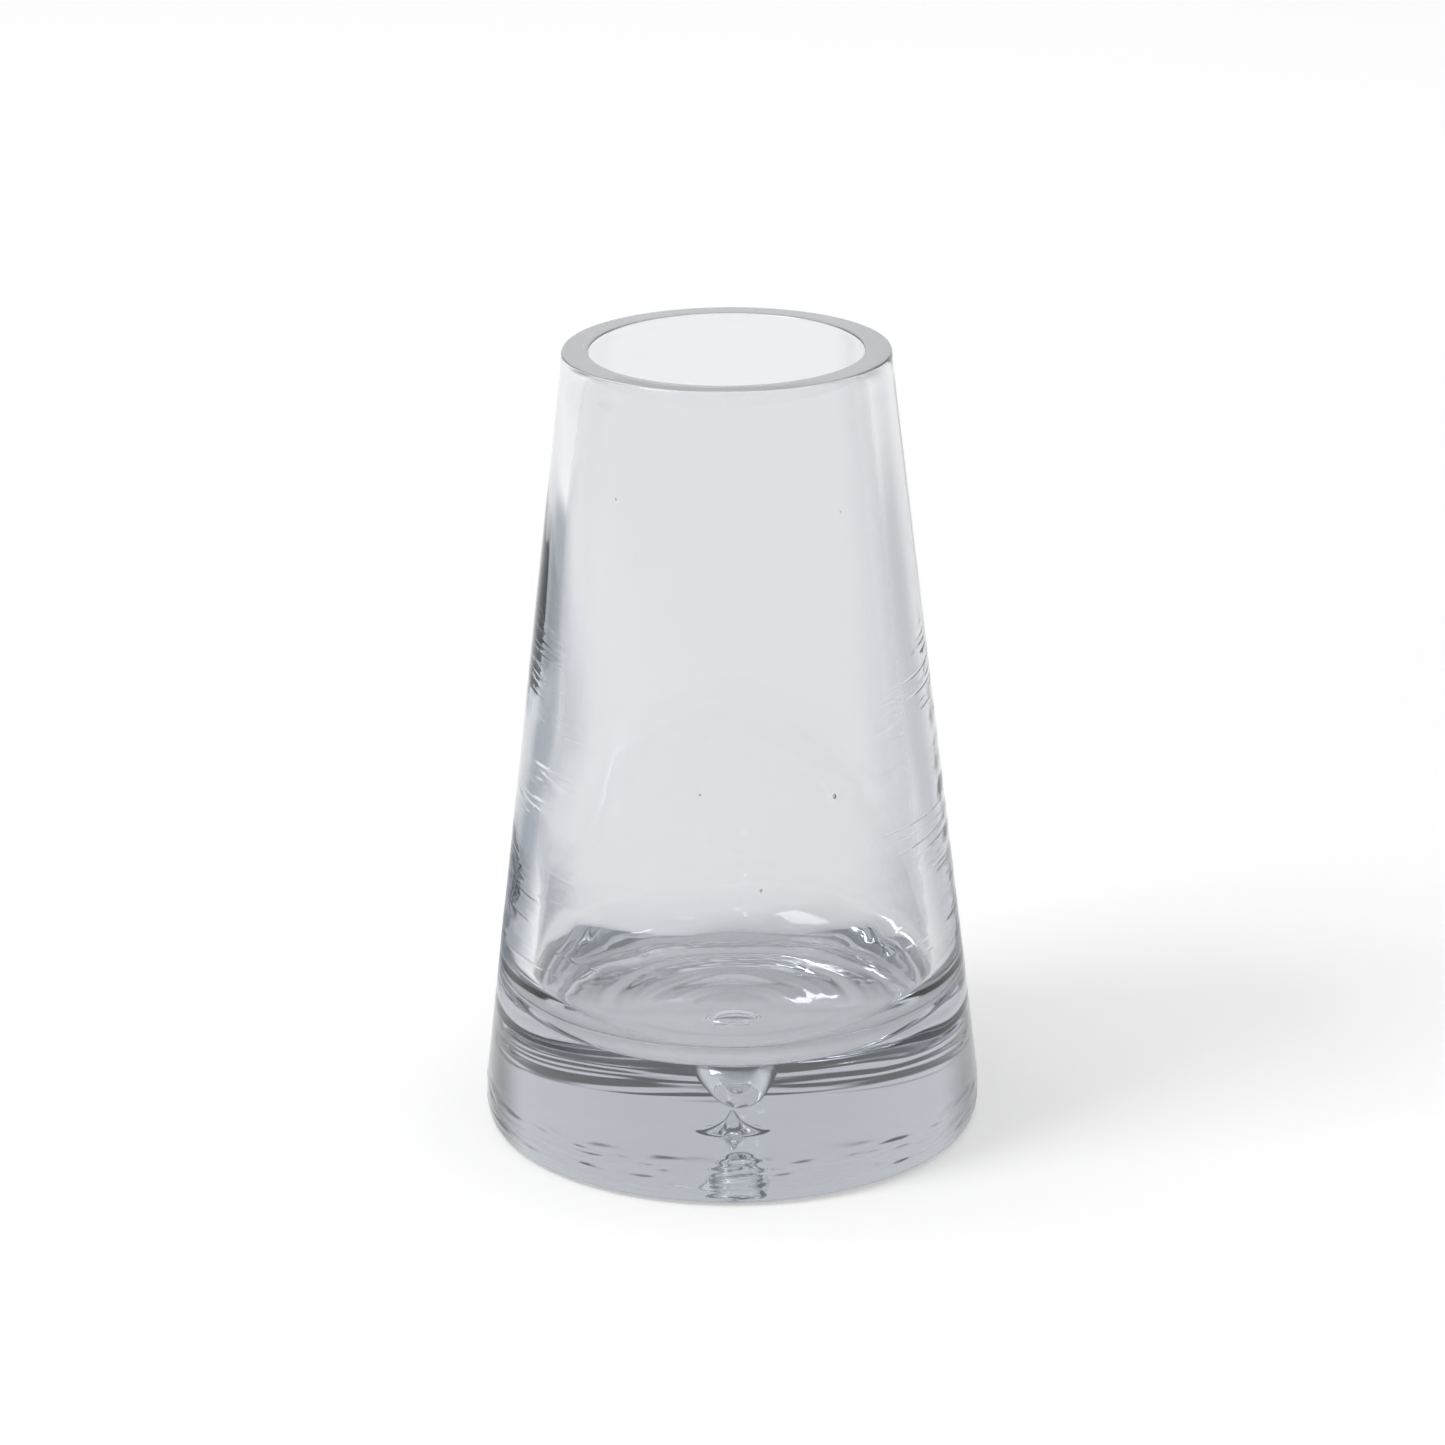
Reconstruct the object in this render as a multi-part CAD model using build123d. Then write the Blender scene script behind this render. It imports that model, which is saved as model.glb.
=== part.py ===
"""Tapered clear-glass vase with a heavy base and one air bubble trapped in the base.

Millimetres, +Z up. The origin is the centre of the flat underside that the vase stands on.
The glass is made in two gathers that fuse hot. The blown body is the first: the tapered wall,
the cut rim and the dished cup floor. The base gather is the second: the thick slug under the cup.
Their hollows meet face to face and close round the bubble. The spike that pricked the hot base
to trap the air left the small trumpet-shaped dent in the underside.

Everything is turned from half sections. They are drawn flat, radius along X and height along Y.
"""

from build123d import *
import os
from math import sqrt

# Outside
HEIGHT = 156.4
BASE_RADIUS = 50.0  # where the side's line meets the underside, before the heel is rounded
RIM_RADIUS = 31.4
HEEL_RADIUS = 3.3
RIM_ARRIS = 0.5  # both edges of the cut rim are softened by this much

# Wall and cup
RIM_WALL = 5.2
LOW_WALL = 6.8  # wall thickness, measured level, where the cup floor starts
CUP_CORNER_RADIUS = 12.0
FLOOR_RADIUS = 30.0  # the height of the dished floor is given here and at its centre
FLOOR_EDGE_Z = 22.9
FLOOR_CENTRE_Z = 20.2

# Seam between the two gathers: a shallow dish that crosses the bubble
SEAM_EDGE_Z = 19.5
SEAM_CENTRE_Z = 13.5

# Bubble: a shallow dome over a deep bowl that runs down to a fine tip
BUBBLE_RADIUS = 5.9
BUBBLE_TOP_Z = 18.6
BUBBLE_WIDEST_Z = 14.8
BUBBLE_SHOULDER = (3.7, 7.6)  # radius and height of a point on the bowl's side
BUBBLE_TIP_RADIUS = 0.4
BUBBLE_TIP_Z = 4.8

# Spike dent in the underside: a trumpet whose flare is one arc
DENT_MOUTH_RADIUS = 4.2
DENT_TIP_RADIUS = 0.4
DENT_DEPTH = 4.2
DENT_FLARE_RADIUS = 6.5

# The cutting outlines reach this far past the glass
CUT_MARGIN = 10.0


def side_radius(height):
    """Radius of the straight outer side at this height."""
    return BASE_RADIUS + (RIM_RADIUS - BASE_RADIUS) * height / HEIGHT


def dish_radius(edge_radius, rise):
    """Radius of the arc that climbs by this rise between the axis and edge_radius."""
    return (edge_radius**2 + rise**2) / (2 * rise)


def dish_height(bow, radius):
    """How far an arc of radius bow, level on the axis, has climbed out at this radius."""
    return bow - sqrt(bow**2 - radius**2)


def round_corner(section, corner, radius):
    """Round the section's corner that lies nearest to this point."""
    nearest = section.vertices().sort_by_distance((*corner, 0))[0]
    return fillet(nearest, radius)


def outside():
    """Half section of the whole outer form, as if the vase were solid glass."""
    heel = (BASE_RADIUS, 0)
    rim = (RIM_RADIUS, HEIGHT)
    section = make_face(Polyline((0, 0), heel, rim, (0, HEIGHT), close=True))
    section = round_corner(section, heel, HEEL_RADIUS)
    return round_corner(section, rim, RIM_ARRIS)


def cup():
    """The hollow: a tapered bore, a rounded corner and a dished floor, open at the rim."""
    mouth_radius = RIM_RADIUS - RIM_WALL
    low_radius = side_radius(FLOOR_EDGE_Z) - LOW_WALL
    slope = (mouth_radius - low_radius) / (HEIGHT - FLOOR_EDGE_Z)
    top = (mouth_radius + slope * CUT_MARGIN, HEIGHT + CUT_MARGIN)
    bow = dish_radius(FLOOR_RADIUS, FLOOR_EDGE_Z - FLOOR_CENTRE_Z)
    corner = (low_radius, FLOOR_CENTRE_Z + dish_height(bow, low_radius))
    centre = (0, FLOOR_CENTRE_Z)
    floor = RadiusArc(centre, corner, -bow)
    sides = Polyline(corner, top, (0, top[1]), centre)
    return round_corner(make_face([floor, sides]), corner, CUP_CORNER_RADIUS)


def bubble():
    """The trapped air: a shallow dome and a deep bowl that narrows to a fine tip."""
    crown = (0, BUBBLE_TOP_Z)
    widest = (BUBBLE_RADIUS, BUBBLE_WIDEST_Z)
    tip_edge = (BUBBLE_TIP_RADIUS, BUBBLE_TIP_Z + BUBBLE_TIP_RADIUS)
    tip = (0, BUBBLE_TIP_Z)
    dome = Spline(crown, widest, tangents=[(1, 0), (0, -1)])
    bowl = Spline(widest, BUBBLE_SHOULDER, tip_edge, tangents=[(0, -1), (-1, -0.5)])
    cap = RadiusArc(tip_edge, tip, BUBBLE_TIP_RADIUS)
    axis = Line(tip, crown)
    return make_face([dome, bowl, cap, axis])


def spike_dent():
    """The trumpet-shaped dent, from its tip down to its crisp round mouth in the underside."""
    tip = (0, DENT_DEPTH)
    tip_edge = (DENT_TIP_RADIUS, DENT_DEPTH - DENT_TIP_RADIUS)
    mouth = (DENT_MOUTH_RADIUS, 0)
    cap = RadiusArc(tip, tip_edge, DENT_TIP_RADIUS)
    flare = RadiusArc(tip_edge, mouth, -DENT_FLARE_RADIUS)
    skirt = Polyline(mouth, (DENT_MOUTH_RADIUS, -CUT_MARGIN), (0, -CUT_MARGIN), tip)
    return make_face([cap, flare, skirt])


def below_seam():
    """Everything under the dished seam between the gathers."""
    seam_radius = side_radius(SEAM_EDGE_Z)
    bow = dish_radius(seam_radius, SEAM_EDGE_Z - SEAM_CENTRE_Z)
    centre = (0, SEAM_CENTRE_Z)
    edge = (seam_radius, SEAM_EDGE_Z)
    reach = BASE_RADIUS + CUT_MARGIN
    seam = RadiusArc(centre, edge, -bow)
    sides = Polyline(
        edge, (reach, SEAM_EDGE_Z), (reach, -CUT_MARGIN), (0, -CUT_MARGIN), centre
    )
    return make_face([seam, sides])


def spin(section):
    """Solid turned from a half section."""
    return revolve(Plane.XZ * section, Axis.Z)


bore_edge = (RIM_RADIUS - RIM_WALL, HEIGHT)
glass = round_corner(outside() - cup(), bore_edge, RIM_ARRIS) - bubble() - spike_dent()
gathers = {
    "blown_body": spin(glass - below_seam()),
    "base_gather": spin(glass & below_seam()),
}

os.makedirs("parts", exist_ok=True)
for name, gather in gathers.items():
    export_step(gather, f"parts/{name}.step")
    print(name, "solids", len(gather.solids()), "volume_cm3", round(gather.volume / 1000, 2))
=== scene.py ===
"""Looks of the tapered glass vase: one fused body of clear glass round a trapped air bubble.

Metres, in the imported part's frame: +Z up, origin at the centre of the underside.
The glass is turned from one half section and then disturbed the way hot work disturbs it:
slow waves in the wall, nearly level ripples low down on the side, rings in the cup floor, an
uneven underside. The bubble and a few seeds are closed hollows in the same mesh.
"""

import math
import random

import bpy
import numpy as np
from mathutils import Matrix, Vector, noise


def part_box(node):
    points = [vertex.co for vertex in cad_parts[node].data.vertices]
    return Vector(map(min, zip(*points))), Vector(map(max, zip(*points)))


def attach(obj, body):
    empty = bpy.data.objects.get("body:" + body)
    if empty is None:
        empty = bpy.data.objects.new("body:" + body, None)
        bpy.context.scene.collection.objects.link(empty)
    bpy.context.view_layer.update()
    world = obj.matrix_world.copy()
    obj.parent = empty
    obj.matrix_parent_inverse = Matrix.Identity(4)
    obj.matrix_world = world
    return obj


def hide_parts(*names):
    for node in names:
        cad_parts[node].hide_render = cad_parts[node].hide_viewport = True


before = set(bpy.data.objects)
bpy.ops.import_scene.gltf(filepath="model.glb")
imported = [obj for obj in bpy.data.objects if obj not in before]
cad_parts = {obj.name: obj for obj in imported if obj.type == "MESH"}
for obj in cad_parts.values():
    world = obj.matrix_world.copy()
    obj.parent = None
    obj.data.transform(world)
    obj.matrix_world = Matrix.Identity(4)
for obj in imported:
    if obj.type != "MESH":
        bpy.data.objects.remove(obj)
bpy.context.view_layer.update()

MM = 0.001

# Driving dimensions, from the frame where the frame has them
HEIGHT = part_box("blown_body")[1].z
BASE_RADIUS = 50.0 * MM  # where the side's line meets the underside
RIM_RADIUS = 31.4 * MM
HEEL_RADIUS = 3.3 * MM
RIM_ARRIS = 0.5 * MM
RIM_WALL = 5.2 * MM
LOW_WALL = 6.8 * MM
CUP_CORNER_RADIUS = 12.0 * MM
FLOOR_RADIUS = 30.0 * MM
FLOOR_EDGE_Z = 22.9 * MM
FLOOR_CENTRE_Z = 20.2 * MM
FOOT_EASE_Z = 9.5 * MM  # below this the side draws in a little towards the heel
FOOT_EASE_BEND = 2.0 * MM
FOOT_EASE_SLOPE = 0.095

# Trapped bubble and the dent that the spike left under it
BUBBLE_RADIUS = 5.9 * MM
BUBBLE_WIDEST_Z = 14.8 * MM
BUBBLE_TOP_Z = 18.6 * MM
BUBBLE_TIP_Z = 4.7 * MM
BOWL_FULLNESS = 1.2  # a larger power keeps the bowl wide for longer
BOWL_ROUNDNESS = 0.45  # a smaller power draws the bowl in later and more sharply
BUBBLE_SIDESTEP = 1.1 * MM  # the real bubble sits this far to the right of the axis
BUBBLE_TILT = math.radians(4.0)
DENT_MOUTH_RADIUS = 4.2 * MM
DENT_TIP_RADIUS = 0.4 * MM
DENT_DEPTH = 4.2 * MM
DENT_FLARE_RADIUS = 6.5 * MM

# How finely the surfaces are divided
TURN_STEPS = 208  # vertices round each ring of the body
BUBBLE_TURN_STEPS = 112
SEED_TURN_STEPS = 12
SEED_ARC_STEPS = 8
DOME_STEPS = 18
BOWL_STEPS = 36
DENT_TIP_STEPS = 4
DENT_FLARE_STEPS = 14
HEEL_STEPS = 16
ARRIS_STEPS = 4
CORNER_STEPS = 32
FLOOR_STEPS = 52
FOOT_STEP = 0.24 * MM  # fine enough for the foot's ripples
SIDE_STEP = 1.0 * MM
BORE_STEP = 1.2 * MM
HEAD_STEP = 3.0 * MM
FOOT_TOP_Z = 11.0 * MM  # the finely divided foot ends here
HEAD_Z = 105.0 * MM  # above this the wall's marks have nearly faded, so its steps are coarse

# Waves in the glass: seed, patches round the vase, height of a patch, and strength in mm
SLOW_SIDE = (1, 1.3, 45.0 * MM, 0.05)
CHILL_MARKS = (2, 1.6, 3.6 * MM, 0.070)
FINE_RIPPLES = (3, 12.0, 0.85 * MM, 0.11)
COARSE_RIPPLES = (4, 8.0, 1.6 * MM, 0.10)
RIPPLE_WANDER = (14, 4.5, 4.0 * MM, 0.9)
SLOW_BORE = (5, 1.1, 60.0 * MM, 0.12)
UPRIGHT_BORE = (7, 7.0, 110.0 * MM, 0.03)
BORE_MARKS = (6, 1.8, 5.5 * MM, 0.03)
RING_CHANGE = (9, 1.5, 1.0, 0.4)  # the rings' depth changes this much round the floor
BUBBLE_WAVES = (12, 1.2, 6.0 * MM, 0.06)
SIDE_SINK = 0.09  # mm, which keeps the highest wave inside the true side

# Where the waves start and end, as heights or radii
FOOT_RIPPLES_END = (8.0 * MM, 10.8 * MM)
CHILL_MARKS_START = (20.0 * MM, 32.0 * MM)
CHILL_MARKS_END = (60.0 * MM, 112.0 * MM)
HEEL_WAVES_START = (0.0, 2.8 * MM)
BORE_MARKS_END = (70.0 * MM, 115.0 * MM)
RIM_CALM = (0.0, 10.0 * MM)  # below the rim
CORNER_BLEND = (23.0 * MM, 36.0 * MM)
BUBBLE_CALM = (0.0, 3.0 * MM)  # from its axis
WRINKLES_START = (8.0 * MM, 20.0 * MM)
WRINKLES_END = (38.0 * MM, 45.0 * MM)

WRINKLE_PATCH = (16.0 * MM, 6.0 * MM)  # size of a patch on the underside, along X and Y
WRINKLE_LAYER = 4.2  # slice of the noise that the wrinkles are read from
WRINKLE_DEPTH = 0.02  # mm
FLOOR_PATCH = 12.0 * MM
FLOOR_LAYER = 8.1
FLOOR_UNEVENNESS = 0.06  # mm
RING_WIDTH = 0.9 * MM
LEFT_SIDE = (0.45, 0.95)  # how far left of the axis the swell starts and is full, in radii

# Rings that turning left in the cup's floor: radius, and height in mm
FLOOR_RINGS = ((0.0095, 0.03), (0.0130, -0.04), (0.0165, 0.06), (0.0200, -0.05), (0.0238, 0.11),
               (0.0265, -0.09), (0.0300, 0.08), (0.0335, -0.06))

# Thick and thin places in the left wall: size in mm, height of the middle, and spread
LEFT_SWELLS = ((0.5, 83.0 * MM, 14.0 * MM), (-1.1, 125.0 * MM, 22.0 * MM),
               (-0.7, 60.0 * MM, 12.0 * MM))

# Seeds, the tiny bubbles in the wall: height, degrees round from +X, and radius in mm
SEEDS = ((0.0780, -60, 0.34), (0.0615, -82, 0.26), (0.118, 40, 0.2),
         (0.096, 160, 0.24), (0.052, 100, 0.3), (0.134, -130, 0.18))

# Glass
GLASS_TINT = (0.878, 0.885, 0.900, 1.0)
GLASS_IOR = 1.5
THICK_TINT = (0.825, 0.838, 0.858, 1.0)  # what a thick stretch of it lets through
THICK_DENSITY = 32.0
SMEAR_ROUGHNESS = 0.05
SMEAR_SCALE = (40.0, 40.0, 22.0)  # patches of noise in a metre, along each axis
RIM_BAND = 0.3 * MM  # glass this close to the rim's plane has the ground finish
RIM_ROUGHNESS = 0.10
RIM_CLARITY = 0.62
CREASE_DEPTH = 0.028 * MM
CREASE_SCALE = (11.0, 11.0, 190.0)
CREASE_WIDTH = 0.035  # of the noise's range
CREASE_PATCH_SCALE = (60.0, 60.0, 70.0)

# Studio
FLOOR_HALF = 4.0
FLOOR_DROP = 0.02 * MM  # keeps the floor clear of the underside
FLOOR_WHITE = (0.85, 0.85, 0.85, 1.0)
CLOTH_NEAR = 0.075
CLOTH_FAR = 0.75
CLOTH_LIFT = 0.5 * MM
LEFT_CLOTH_TINT = (0.84, 0.91, 1.0, 1.0)
LEFT_CLOTH_GLOW = 0.48
RIGHT_CLOTH_TINT = (0.95, 0.96, 1.0, 1.0)
RIGHT_CLOTH_GLOW = 0.66
SOFT_BOX_PLACE = (-0.62, -0.30, 0.95)
SOFT_BOX_SIZE = 0.38
SOFT_BOX_WATTS = 4.2

# Camera, at the photograph's viewing angle
CAMERA_LENS_MM = 121.59
CAMERA_SENSOR_MM = 36.0
CAMERA_DISTANCE = 0.95269
CAMERA_ELEVATION = math.radians(19.534)
CAMERA_ROLL = math.radians(-0.451)
AIM_LEFT = 1.388 * MM  # the view's centre is this far left of and above the vase's middle
AIM_UP = 2.684 * MM


# ---------------------------------------------------------------- half section


def side_radius(height):
    """Radius of the straight outer side at this height."""
    return BASE_RADIUS + (RIM_RADIUS - BASE_RADIUS) * height / HEIGHT


def arc(centre, radius, start, end, steps):
    """Points along an arc of the half section, from one angle to the other."""
    angles = np.linspace(start, end, steps + 1)
    return [(centre[0] + radius * math.cos(a), centre[1] + radius * math.sin(a)) for a in angles]


def line(start, end, step):
    """Points along a straight stretch, at most one step apart."""
    count = max(1, math.ceil(math.dist(start, end) / step))
    whole = np.array(end) - np.array(start)
    return [tuple(np.array(start) + whole * i / count) for i in range(count + 1)]


def rounding(before, corner, after, radius, steps):
    """The arc that rounds the corner between two straight stretches."""
    corner_v = Vector(corner)
    back = (Vector(before) - corner_v).normalized()
    on = (Vector(after) - corner_v).normalized()
    half = back.angle(on) / 2
    centre = corner_v + (back + on).normalized() * (radius / math.sin(half))
    start = corner_v + back * (radius / math.tan(half)) - centre
    end = corner_v + on * (radius / math.tan(half)) - centre
    first = math.atan2(start.y, start.x)
    sweep = math.remainder(math.atan2(end.y, end.x) - first, math.tau)
    return arc(centre, radius, first, first + sweep, steps)


def floor_bow():
    """Radius of the arc that the dished floor follows."""
    rise = FLOOR_EDGE_Z - FLOOR_CENTRE_Z
    return (FLOOR_RADIUS**2 + rise**2) / (2 * rise)


def floor_height(radius):
    """Height of the dished floor this far from the axis."""
    bow = floor_bow()
    return FLOOR_CENTRE_Z + bow - math.sqrt(bow**2 - radius**2)


def cup_corner():
    """Centre of the arc that joins the bore to the dished floor, the bore's lean, and the angle
    at which the arc meets the floor."""
    mouth = RIM_RADIUS - RIM_WALL
    low = side_radius(FLOOR_EDGE_Z) - LOW_WALL
    lean = math.atan2(low - mouth, HEIGHT - FLOOR_EDGE_Z)
    bow_z = FLOOR_CENTRE_Z + floor_bow()
    foot_z = floor_height(low)

    def offset_line_radius(height):
        """Radius of the bore's line moved inwards by the corner's radius."""
        return low - (height - foot_z) * math.tan(lean) - CUP_CORNER_RADIUS / math.cos(lean)

    reach = floor_bow() - CUP_CORNER_RADIUS
    below, above = foot_z, foot_z + 2 * CUP_CORNER_RADIUS
    halvings = 60
    for _ in range(halvings):  # the centre is on the offset line and inside the bow by its radius
        middle = (below + above) / 2
        if math.hypot(offset_line_radius(middle), bow_z - middle) > reach:
            below = middle
        else:
            above = middle
    centre = (offset_line_radius(middle), middle)
    floor_angle = -math.atan2(bow_z - centre[1], centre[0])
    return centre, lean, floor_angle


def dent_section():
    """The dent from its tip out to its mouth: a small round tip, then sides that flare."""
    tip_centre = (0.0, DENT_DEPTH - DENT_TIP_RADIUS)
    tip_edge = (DENT_TIP_RADIUS, tip_centre[1])
    mouth = (DENT_MOUTH_RADIUS, 0.0)
    chord = Vector(mouth) - Vector(tip_edge)
    reach = math.sqrt(DENT_FLARE_RADIUS**2 - (chord.length / 2) ** 2)
    centre = (Vector(mouth) + Vector(tip_edge)) / 2
    centre += Vector((-chord.y, chord.x)).normalized() * reach
    first = math.atan2(tip_edge[1] - centre.y, tip_edge[0] - centre.x)
    last = math.atan2(-centre.y, mouth[0] - centre.x)
    sweep = math.remainder(last - first, math.tau)
    tip = arc(tip_centre, DENT_TIP_RADIUS, math.pi / 2, 0.0, DENT_TIP_STEPS)
    return tip + arc(centre, DENT_FLARE_RADIUS, first, first + sweep, DENT_FLARE_STEPS)[1:]


def body_section():
    """The glass body's half section, from the dent's tip out, up, over the rim and down to the
    floor's centre, as stretches of (name, points)."""
    mouth = (DENT_MOUTH_RADIUS, 0.0)
    heel_corner = (BASE_RADIUS, 0.0)
    rim_outer = (RIM_RADIUS, HEIGHT)
    rim_inner = (RIM_RADIUS - RIM_WALL, HEIGHT)
    corner_centre, lean, floor_angle = cup_corner()
    corner = arc(corner_centre, CUP_CORNER_RADIUS, lean, floor_angle, CORNER_STEPS)
    bore_foot = corner[0]
    heel = rounding(mouth, heel_corner, rim_outer, HEEL_RADIUS, HEEL_STEPS)
    arris_out = rounding(heel_corner, rim_outer, rim_inner, RIM_ARRIS, ARRIS_STEPS)
    arris_in = rounding(rim_outer, rim_inner, bore_foot, RIM_ARRIS, ARRIS_STEPS)

    def on_side(height):
        return (side_radius(height), height)

    def on_bore(height):
        share = (height - bore_foot[1]) / (arris_in[-1][1] - bore_foot[1])
        return (bore_foot[0] + (arris_in[-1][0] - bore_foot[0]) * share, height)

    foot_side = line(heel[-1], on_side(FOOT_TOP_Z), FOOT_STEP)
    mid_side = line(on_side(FOOT_TOP_Z), on_side(HEAD_Z), SIDE_STEP)
    high_side = line(on_side(HEAD_Z), arris_out[0], HEAD_STEP)
    rim_flat = line(arris_out[-1], arris_in[0], SIDE_STEP)
    high_bore = line(arris_in[-1], on_bore(HEAD_Z), HEAD_STEP)
    low_bore = line(on_bore(HEAD_Z), bore_foot, BORE_STEP)
    floor_radii = [corner[-1][0] * (1 - i / FLOOR_STEPS) for i in range(1, FLOOR_STEPS + 1)]
    return [
        ("dent", dent_section()),
        ("underside", line(mouth, heel[0], SIDE_STEP)[1:-1]),
        ("heel", heel),
        ("side", foot_side[1:] + mid_side[1:] + high_side[1:-1]),
        ("rim", arris_out + rim_flat[1:-1] + arris_in),
        ("bore", high_bore[1:] + low_bore[1:-1]),
        ("corner", corner),
        ("floor", [(radius, floor_height(radius)) for radius in floor_radii]),
    ]


def bubble_section():
    """The bubble's half section from its crown down to its tip: a shallow dome over a bowl
    whose sides draw in to a point."""
    dome = BUBBLE_TOP_Z - BUBBLE_WIDEST_Z
    drop = BUBBLE_WIDEST_Z - BUBBLE_TIP_Z
    points = []
    for i in range(DOME_STEPS + 1):
        angle = math.pi / 2 * (1 - i / DOME_STEPS)
        points.append((BUBBLE_RADIUS * math.cos(angle), BUBBLE_WIDEST_Z + dome * math.sin(angle)))
    for i in range(1, BOWL_STEPS + 1):
        depth = math.sin(i / BOWL_STEPS * math.pi / 2)
        radius = BUBBLE_RADIUS * max(0.0, 1 - depth**BOWL_FULLNESS) ** BOWL_ROUNDNESS
        points.append((radius, BUBBLE_WIDEST_Z - drop * depth))
    points[0] = (0.0, BUBBLE_TOP_Z)
    points[-1] = (0.0, BUBBLE_TIP_Z)
    return points


# ---------------------------------------------------------------- how hot work disturbs it


def waves(angle, height, seed, around, upright, strength):
    """Smooth noise on the turned surface, up to strength either way: patches about 1/around
    radians wide and upright metres high."""
    seed_spacing = 17.3
    return strength * noise.noise(Vector((math.cos(angle) * around, math.sin(angle) * around,
                                          height / upright + seed * seed_spacing)))


def bump(value, centre, width):
    """A smooth hump of height 1 at centre."""
    return math.exp(-(((value - centre) / width) ** 2))


def fade(value, low, high):
    """0 below low, 1 above high, smooth between."""
    share = min(1.0, max(0.0, (value - low) / (high - low)))
    return share * share * (3 - 2 * share)


def foot_ease(height):
    """How far the side has drawn in at this height, as a negative move."""
    drop = max(0.0, FOOT_EASE_Z - height)
    bend = min(drop, FOOT_EASE_BEND)
    return -FOOT_EASE_SLOPE * (bend**2 / (2 * FOOT_EASE_BEND) + drop - bend)


def foot_ripples(angle, height):
    """Tight, nearly level ripples in the foot of the side, broken and wandering, in mm."""
    wander = MM * waves(angle, height, *RIPPLE_WANDER)
    ripples = waves(angle, height + wander, *FINE_RIPPLES)
    ripples += waves(angle, height - wander, *COARSE_RIPPLES)
    return ripples * (1 - fade(height, *FOOT_RIPPLES_END))


def side_waves(angle, radius, height):
    """Outer side: slow waves, level chill marks up to two thirds of the height, and tight
    ripples just above the heel."""
    slow = waves(angle, height, *SLOW_SIDE)
    marks = waves(angle, height, *CHILL_MARKS) * (1 - fade(height, *CHILL_MARKS_END))
    marks *= fade(height, *CHILL_MARKS_START)
    return (slow + marks + foot_ripples(angle, height) - SIDE_SINK) * MM + foot_ease(height)


def heel_waves(angle, radius, height):
    """Heel: the ripples of the side run on into it."""
    slow = waves(angle, height, *SLOW_SIDE)
    move = (slow + foot_ripples(angle, height) - SIDE_SINK) * MM + foot_ease(height)
    return move * fade(height, *HEEL_WAVES_START)


def underside_waves(angle, radius, height):
    """Underside: nearly flat, with long shallow wrinkles between the dent and the edge."""
    x, y = radius * math.cos(angle), radius * math.sin(angle)
    wrinkle = noise.noise(Vector((x / WRINKLE_PATCH[0], y / WRINKLE_PATCH[1], WRINKLE_LAYER)))
    ring = fade(radius, *WRINKLES_START) * (1 - fade(radius, *WRINKLES_END))
    return -(WRINKLE_DEPTH + WRINKLE_DEPTH * wrinkle) * ring * MM


def left_swell(angle, height):
    """The blown wall is uneven on the left: thick and thin by turns, in mm."""
    side = fade(-math.cos(angle), *LEFT_SIDE)
    return sum(size * bump(height, at, spread) for size, at, spread in LEFT_SWELLS) * side


def bore_waves(angle, radius, height):
    """Bore: slow waves where the blown wall is thicker and thinner, faint level marks."""
    slow = waves(angle, height, *SLOW_BORE) + waves(angle, height, *UPRIGHT_BORE)
    marks = waves(angle, height, *BORE_MARKS) * (1 - fade(height, *BORE_MARKS_END))
    move = slow + marks + left_swell(angle, height)
    return move * fade(HEIGHT - height, *RIM_CALM) * MM


def floor_waves(angle, radius, height):
    """Cup floor: rings left by turning, and a shallow unevenness."""
    rings = sum(size * bump(radius, at, RING_WIDTH) for at, size in FLOOR_RINGS)
    x, y = radius * math.cos(angle), radius * math.sin(angle)
    uneven = FLOOR_UNEVENNESS * noise.noise(Vector((x / FLOOR_PATCH, y / FLOOR_PATCH, FLOOR_LAYER)))
    return (rings * (1 + waves(angle, 0.0, *RING_CHANGE)) + uneven) * MM


def corner_waves(angle, radius, height):
    """Cup corner: carries the bore's waves down and the floor's rings out."""
    share = fade(height, *CORNER_BLEND)
    return bore_waves(angle, radius, height) * share + floor_waves(angle, radius, height) * (1 - share)


def bubble_waves(angle, radius, height):
    """The bubble isn't quite round."""
    return MM * waves(angle, height, *BUBBLE_WAVES) * fade(radius, *BUBBLE_CALM)


def no_waves(angle, radius, height):
    """Cut or pricked surfaces stay true."""
    return 0.0


DISTURBED_BY = {
    "dent": no_waves,
    "underside": underside_waves,
    "heel": heel_waves,
    "side": side_waves,
    "rim": no_waves,
    "bore": bore_waves,
    "corner": corner_waves,
    "floor": floor_waves,
    "bubble": bubble_waves,
    "seed": no_waves,
}


# ---------------------------------------------------------------- meshes


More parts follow.
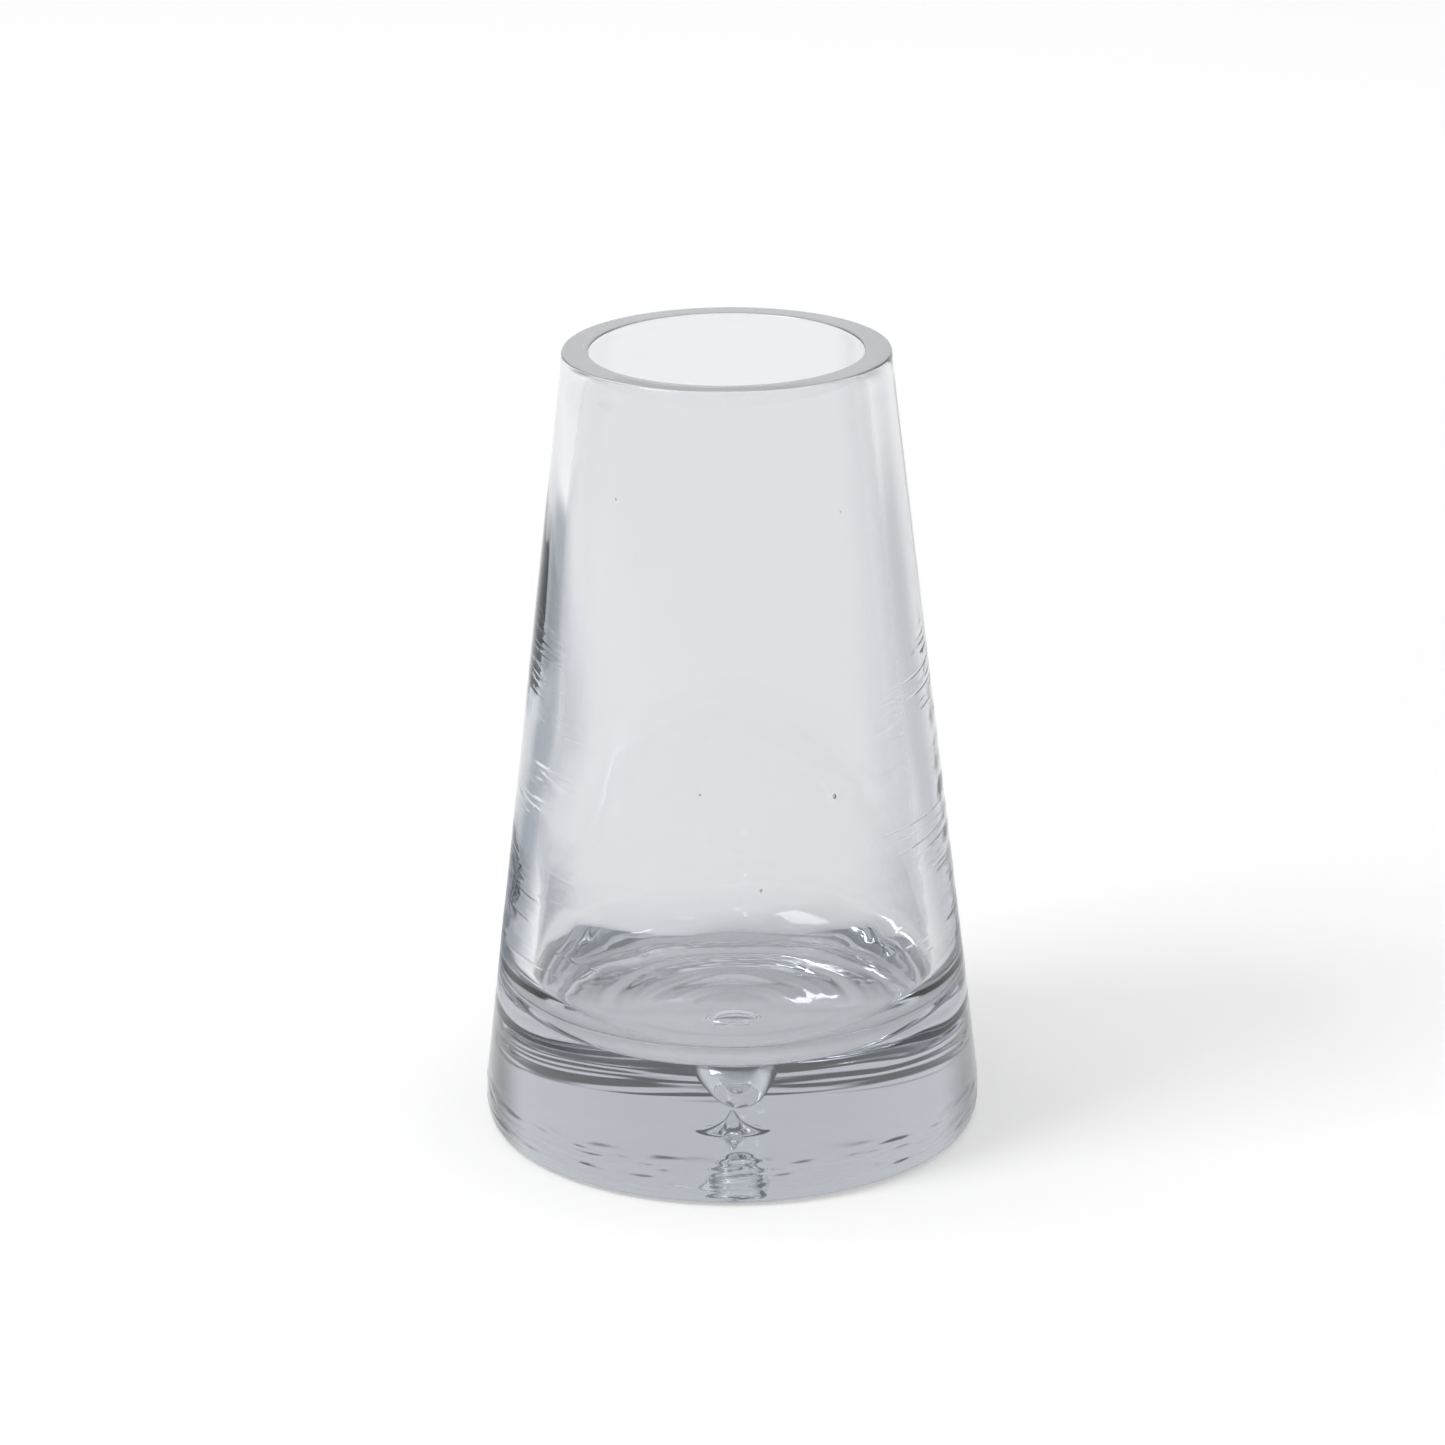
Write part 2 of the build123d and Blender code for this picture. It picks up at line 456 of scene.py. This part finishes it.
class Shell:
    """Vertices and faces gathered from several closed surfaces."""

    def __init__(self):
        self.points = []
        self.faces = []

    def add_turned(self, stretches, steps, place=Matrix.Identity(4)):
        """Turn a half section, given as stretches of (name, points), that starts and ends on the
        axis. Each vertex moves along the section's outward normal as its stretch is disturbed."""
        names = [name for name, points in stretches for _ in points]
        section = np.array([point for _, points in stretches for point in points])
        along = np.gradient(section, axis=0)
        along /= np.linalg.norm(along, axis=1)[:, None]
        on_axis = 1e-7
        rings = []
        for name, (radius, height), (along_out, along_up) in zip(names, section, along):
            count = 1 if radius < on_axis else steps
            ring = []
            for k in range(count):
                angle = math.tau * k / steps
                move = DISTURBED_BY[name](angle, radius, height)
                out = radius + move * along_up if count > 1 else 0.0
                up = height - move * along_out
                ring.append(len(self.points))
                point = Vector((out * math.cos(angle), out * math.sin(angle), up))
                self.points.append(place @ point)
            rings.append(ring)
        for lower, upper in zip(rings[:-1], rings[1:]):
            self.join(lower, upper, steps)

    def join(self, lower, upper, steps):
        """Faces between two rings, either of which may be a single point on the axis."""
        for k in range(steps):
            after = (k + 1) % steps
            if len(lower) == 1:
                self.faces.append((lower[0], upper[after], upper[k]))
            elif len(upper) == 1:
                self.faces.append((lower[k], lower[after], upper[0]))
            else:
                self.faces.append((lower[k], lower[after], upper[after], upper[k]))

    def add_seed(self, centre, radius, stretch):
        """A tiny closed hollow, longer upright than across."""
        section = [(radius * math.sin(a), stretch * radius * math.cos(a))
                   for a in np.linspace(0.0, math.pi, SEED_ARC_STEPS + 1)]
        section[0] = (0.0, section[0][1])
        section[-1] = (0.0, section[-1][1])
        self.add_turned([("seed", section)], SEED_TURN_STEPS, Matrix.Translation(centre))

    def mesh(self, name):
        """The gathered surfaces as one smooth-shaded mesh."""
        mesh = bpy.data.meshes.new(name)
        mesh.from_pydata([tuple(p) for p in self.points], [], self.faces)
        mesh.polygons.foreach_set("use_smooth", [True] * len(mesh.polygons))
        mesh.update()
        return mesh


def bubble_place():
    """The bubble leans about its own tip, which sits a little to the right of the axis."""
    tip = Vector((0.0, 0.0, BUBBLE_TIP_Z))
    lean = Matrix.Rotation(-BUBBLE_TILT, 4, "Y")
    to_tip = Matrix.Translation(tip + Vector((BUBBLE_SIDESTEP, 0.0, 0.0)))
    return to_tip @ lean @ Matrix.Translation(-tip)


def add_seeds(shell):
    """A few seeds somewhere near the middle of the wall's thickness."""
    draw = random.Random(571)
    for height, turn, size in SEEDS:
        middle = side_radius(height) - RIM_WALL * draw.uniform(0.35, 0.65)
        angle = math.radians(turn)
        centre = Vector((middle * math.cos(angle), middle * math.sin(angle), height))
        shell.add_seed(centre, size * MM, draw.uniform(1.0, 1.6))


def glass_body():
    """The whole vase as one fused piece of glass."""
    shell = Shell()
    shell.add_turned(body_section(), TURN_STEPS)
    shell.add_turned([("bubble", bubble_section())], BUBBLE_TURN_STEPS, bubble_place())
    add_seeds(shell)
    body = bpy.data.objects.new("vase_glass", shell.mesh("vase_glass"))
    body.data.materials.append(glass_material())
    bpy.context.scene.collection.objects.link(body)
    return body


# ---------------------------------------------------------------- shader nodes


def feed(tree, socket, value):
    """Give an input a plain value, or link a node's output to it."""
    if isinstance(value, bpy.types.NodeSocket):
        tree.links.new(value, socket)
    else:
        socket.default_value = value


def maths(tree, operation, *terms):
    """The result of a Math node whose terms are numbers or node outputs."""
    step = tree.nodes.new("ShaderNodeMath")
    step.operation = operation
    for socket, term in zip(step.inputs, terms):
        feed(tree, socket, term)
    return step.outputs["Value"]


def product(tree, *terms):
    """Node outputs multiplied together."""
    result = terms[0]
    for term in terms[1:]:
        result = maths(tree, "MULTIPLY", result, term)
    return result


def ramp(tree, source, low, high, at_low, at_high, shape="SMOOTHSTEP"):
    """A step from at_low to at_high as a node's output goes from low to high."""
    step = tree.nodes.new("ShaderNodeMapRange")
    step.interpolation_type = shape
    feed(tree, step.inputs["Value"], source)
    feed(tree, step.inputs["From Min"], low)
    feed(tree, step.inputs["From Max"], high)
    feed(tree, step.inputs["To Min"], at_low)
    feed(tree, step.inputs["To Max"], at_high)
    return step.outputs["Result"]


def coordinates(tree, kind="Object"):
    """Texture coordinates of one kind, as a node output."""
    return tree.nodes.new("ShaderNodeTexCoord").outputs[kind]


def components(tree, kind="Object"):
    """X, Y and Z of the coordinates, by name."""
    split = tree.nodes.new("ShaderNodeSeparateXYZ")
    tree.links.new(coordinates(tree, kind), split.inputs["Vector"])
    return split.outputs


def distance_from_origin(tree):
    """How far a point is from the object's origin."""
    length = tree.nodes.new("ShaderNodeVectorMath")
    length.operation = "LENGTH"
    tree.links.new(coordinates(tree), length.inputs[0])
    return length.outputs["Value"]


def stretched_noise(tree, scale, detail, roughness):
    """Noise in object coordinates, stretched one way by a scale along each axis."""
    mapping = tree.nodes.new("ShaderNodeMapping")
    mapping.inputs["Scale"].default_value = scale
    tree.links.new(coordinates(tree), mapping.inputs["Vector"])
    texture = tree.nodes.new("ShaderNodeTexNoise")
    texture.inputs["Scale"].default_value = 1.0
    texture.inputs["Detail"].default_value = detail
    texture.inputs["Roughness"].default_value = roughness
    tree.links.new(mapping.outputs["Vector"], texture.inputs["Vector"])
    return texture.outputs["Fac"]


# ---------------------------------------------------------------- glass


def on_rim(tree, height, elsewhere, on_the_rim):
    """One value on the rim's ground band and another on the rest of the glass."""
    whole_by = HEIGHT - RIM_BAND / 4
    return ramp(tree, height, HEIGHT - RIM_BAND, whole_by, elsewhere, on_the_rim)


def smears(tree):
    """Roughness of faint smears in wide patches."""
    patches = stretched_noise(tree, SMEAR_SCALE, 4.0, 0.6)
    return ramp(tree, patches, 0.52, 0.80, 0.0, SMEAR_ROUGHNESS, "LINEAR")


def creases(tree, place):
    """Normals of fine level creases in patches, at the sides of the lower two thirds."""
    wander = stretched_noise(tree, CREASE_SCALE, 1.0, 0.4)
    off_line = maths(tree, "ABSOLUTE", maths(tree, "SUBTRACT", wander, 0.5))
    crease = ramp(tree, off_line, 0.0, CREASE_WIDTH, 1.0, 0.0)
    above_foot = ramp(tree, place["Z"], 26.0 * MM, 32.0 * MM, 0.0, 1.0)
    below_head = ramp(tree, place["Z"], 90.0 * MM, 112.0 * MM, 1.0, 0.0)
    sideways = maths(tree, "ABSOLUTE", place["X"])
    at_sides = ramp(tree, sideways, 24.0 * MM, 34.0 * MM, 0.0, 1.0)
    clusters = stretched_noise(tree, CREASE_PATCH_SCALE, 1.0, 0.4)
    patches = ramp(tree, clusters, 0.45, 0.60, 0.0, 1.0)
    relief = tree.nodes.new("ShaderNodeBump")
    relief.inputs["Distance"].default_value = CREASE_DEPTH
    height = product(tree, crease, above_foot, below_head, at_sides, patches)
    tree.links.new(height, relief.inputs["Height"])
    return relief.outputs["Normal"]


def absorb(tree):
    """Thick glass looks faintly cool grey."""
    absorption = tree.nodes.new("ShaderNodeVolumeAbsorption")
    absorption.inputs["Color"].default_value = THICK_TINT
    absorption.inputs["Density"].default_value = THICK_DENSITY
    output = tree.nodes["Material Output"]
    tree.links.new(absorption.outputs["Volume"], output.inputs["Volume"])


def glass_material():
    """Polished clear glass with faint smears and fine creases, and a ground rim."""
    material = bpy.data.materials.new("clear_glass")
    material.use_nodes = True
    tree = material.node_tree
    shader = tree.nodes["Principled BSDF"]
    shader.inputs["Base Color"].default_value = GLASS_TINT
    shader.inputs["IOR"].default_value = GLASS_IOR
    shader.inputs["Transmission Weight"].default_value = 1.0
    place = components(tree)
    ground = on_rim(tree, place["Z"], 0.0, RIM_ROUGHNESS)
    roughness = maths(tree, "MAXIMUM", smears(tree), ground)
    clarity = on_rim(tree, place["Z"], 1.0, RIM_CLARITY)
    tree.links.new(roughness, shader.inputs["Roughness"])
    tree.links.new(clarity, shader.inputs["Transmission Weight"])
    tree.links.new(creases(tree, place), shader.inputs["Normal"])
    absorb(tree)
    return material


# ---------------------------------------------------------------- studio


def bare_material(name):
    """A material with only its output node: the material, its tree and its surface input."""
    material = bpy.data.materials.new(name)
    material.use_nodes = True
    tree = material.node_tree
    tree.nodes.clear()
    output = tree.nodes.new("ShaderNodeOutputMaterial")
    return material, tree, output.inputs["Surface"]


def flat_object(name, points, faces, height, material):
    """A level sheet of faces at this height, linked to the scene."""
    mesh = bpy.data.meshes.new(name)
    mesh.from_pydata(points, [], faces)
    mesh.materials.append(material)
    sheet = bpy.data.objects.new(name, mesh)
    sheet.location.z = height
    bpy.context.scene.collection.objects.link(sheet)
    return sheet


def floor_material():
    """White paint with a faint glow. The glow is painted light: it is stronger under the vase, where
    it lifts the vase's shadow, and grows a little farther out.
    """
    material, tree, surface = bare_material("studio_white")
    paint = tree.nodes.new("ShaderNodeBsdfDiffuse")
    paint.inputs["Color"].default_value = FLOOR_WHITE
    reach = distance_from_origin(tree)
    # painted light: extra glow under the vase's foot, lifting the shadow that the glass casts there
    painted_light_under_vase = ramp(tree, reach, 0.035, 0.055, 0.17, 0.0)
    around = ramp(tree, reach, 0.06, 0.9, 0.26, 0.36)
    glow = tree.nodes.new("ShaderNodeEmission")
    tree.links.new(maths(tree, "ADD", painted_light_under_vase, around), glow.inputs["Strength"])
    both = tree.nodes.new("ShaderNodeAddShader")
    tree.links.new(paint.outputs["BSDF"], both.inputs[0])
    tree.links.new(glow.outputs["Emission"], both.inputs[1])
    tree.links.new(both.outputs["Shader"], surface)
    return material


def studio_floor():
    """A plain white sweep that the vase stands on."""
    half = FLOOR_HALF
    points = [(-half, -half, 0), (half, -half, 0), (half, half, 0), (-half, half, 0)]
    floor = flat_object("studio_floor", points, [(0, 1, 2, 3)], -FLOOR_DROP, floor_material())


def cloth_cover(tree):
    """1 in the middle of a side cloth and 0 at its edges. It is the same on both sides, with
    turns counted away from straight behind the vase."""
    place = components(tree)
    sideways = maths(tree, "ABSOLUTE", place["X"])
    turn = maths(tree, "ARCTAN2", sideways, place["Y"])
    reach = distance_from_origin(tree)
    first = ramp(tree, turn, math.radians(16), math.radians(40), 0.0, 1.0)
    last = ramp(tree, turn, math.radians(48), math.radians(68), 1.0, 0.0)
    inner = ramp(tree, reach, CLOTH_NEAR, CLOTH_NEAR + 0.05, 0.0, 1.0)
    outer = ramp(tree, reach, CLOTH_FAR - 0.25, CLOTH_FAR, 1.0, 0.0)
    return product(tree, first, last, inner, outer)


def cloth_material(name, tint, strength):
    """An even glow that fades out to nothing at the cloth's edges."""
    material, tree, surface = bare_material(name)
    glow = tree.nodes.new("ShaderNodeEmission")
    glow.inputs["Color"].default_value = tint
    glow.inputs["Strength"].default_value = strength
    open_air = tree.nodes.new("ShaderNodeBsdfTransparent")
    edge = tree.nodes.new("ShaderNodeMixShader")
    tree.links.new(cloth_cover(tree), edge.inputs["Fac"])
    tree.links.new(open_air.outputs["BSDF"], edge.inputs[1])
    tree.links.new(glow.outputs["Emission"], edge.inputs[2])
    tree.links.new(edge.outputs["Shader"], surface)
    return material


def side_cloth(name, side, tint, strength):
    """A cloth laid behind the vase on the left (side -1) or the right (side 1), hidden from the
    camera. It shows only in the glass, where it draws that edge of the vase."""
    turns = [math.radians(a) for a in range(10, 71, 10)]
    points = [(side * reach * math.sin(a), reach * math.cos(a), 0.0)
              for a in turns for reach in (CLOTH_NEAR, CLOTH_FAR)]
    faces = [(2 * i, 2 * i + 1, 2 * i + 3, 2 * i + 2) for i in range(len(turns) - 1)]
    cloth = flat_object(name, points, faces, CLOTH_LIFT, cloth_material(name, tint, strength))
    cloth.visible_camera = False
    cloth.visible_diffuse = False
    cloth.visible_shadow = False


def studio_world():
    """A white backdrop that ends part of the way up, with a dim gap above it and then the
    ceiling, in a room that is darker towards the camera and to the left and right."""
    world = bpy.data.worlds.new("studio")
    bpy.context.scene.world = world
    world.use_nodes = True
    tree = world.node_tree
    background = tree.nodes["Background"]
    background.inputs["Color"].default_value = (1.0, 1.0, 1.0, 1.0)
    towards = components(tree, "Generated")
    depth = ramp(tree, towards["Y"], -0.7, 0.5, 0.62, 0.89)
    gap = ramp(tree, towards["Y"], 0.15, 0.60, 0.80, 0.20)
    backdrop = ramp(tree, towards["Z"], 0.412, 0.460, 1.0, gap)
    ceiling = ramp(tree, towards["Z"], 0.62, 0.80, 0.0, 0.50)
    left = ramp(tree, towards["X"], -0.90, -0.68, 0.45, 1.0)
    right = ramp(tree, towards["X"], 0.68, 0.86, 1.0, 0.30)
    height = maths(tree, "ADD", backdrop, ceiling)
    tree.links.new(product(tree, depth, height, left, right), background.inputs["Strength"])


def soft_box():
    """One square area light high on the left, a little in front of the vase and facing its foot."""
    light = bpy.data.lights.new("soft_box", "AREA")
    light.size = SOFT_BOX_SIZE
    light.energy = SOFT_BOX_WATTS
    lamp = bpy.data.objects.new("soft_box", light)
    lamp.location = SOFT_BOX_PLACE
    lamp.rotation_euler = (-Vector(SOFT_BOX_PLACE)).to_track_quat("-Z", "Y").to_euler()
    bpy.context.scene.collection.objects.link(lamp)


def camera():
    """A long lens looking down at the vase, rolled very slightly."""
    aim = Vector((0.0, 0.0, HEIGHT / 2))
    back = Vector((0.0, -math.cos(CAMERA_ELEVATION), math.sin(CAMERA_ELEVATION)))
    place = aim + back * CAMERA_DISTANCE
    level = Vector((1.0, 0.0, 0.0))
    upright = level.cross(-back)
    right = level * math.cos(CAMERA_ROLL) + upright * math.sin(CAMERA_ROLL)
    up = upright * math.cos(CAMERA_ROLL) - level * math.sin(CAMERA_ROLL)
    look = (aim - right * AIM_LEFT + up * AIM_UP - place).normalized()
    right = look.cross(up).normalized()
    up = right.cross(look)
    data = bpy.data.cameras.new("camera")
    data.sensor_width = CAMERA_SENSOR_MM
    data.lens = CAMERA_LENS_MM
    data.clip_start = 0.01
    data.clip_end = 50.0
    view = bpy.data.objects.new("camera", data)
    turn = Matrix((right, up, -look)).transposed().to_4x4()
    view.matrix_world = Matrix.Translation(place) @ turn
    bpy.context.scene.collection.objects.link(view)
    bpy.context.scene.camera = view


def light_paths():
    """Colours as they are, and enough bounces for light to find its way through the solid base."""
    scene = bpy.context.scene
    scene.view_settings.view_transform = "Standard"
    scene.cycles.max_bounces = 32
    scene.cycles.transmission_bounces = 32
    scene.cycles.glossy_bounces = 16


camera()
vase = glass_body()
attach(vase, "root")
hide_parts("blown_body", "base_gather")

studio_floor()
side_cloth("left_cloth", -1, LEFT_CLOTH_TINT, LEFT_CLOTH_GLOW)
side_cloth("right_cloth", 1, RIGHT_CLOTH_TINT, RIGHT_CLOTH_GLOW)
studio_world()
soft_box()
light_paths()
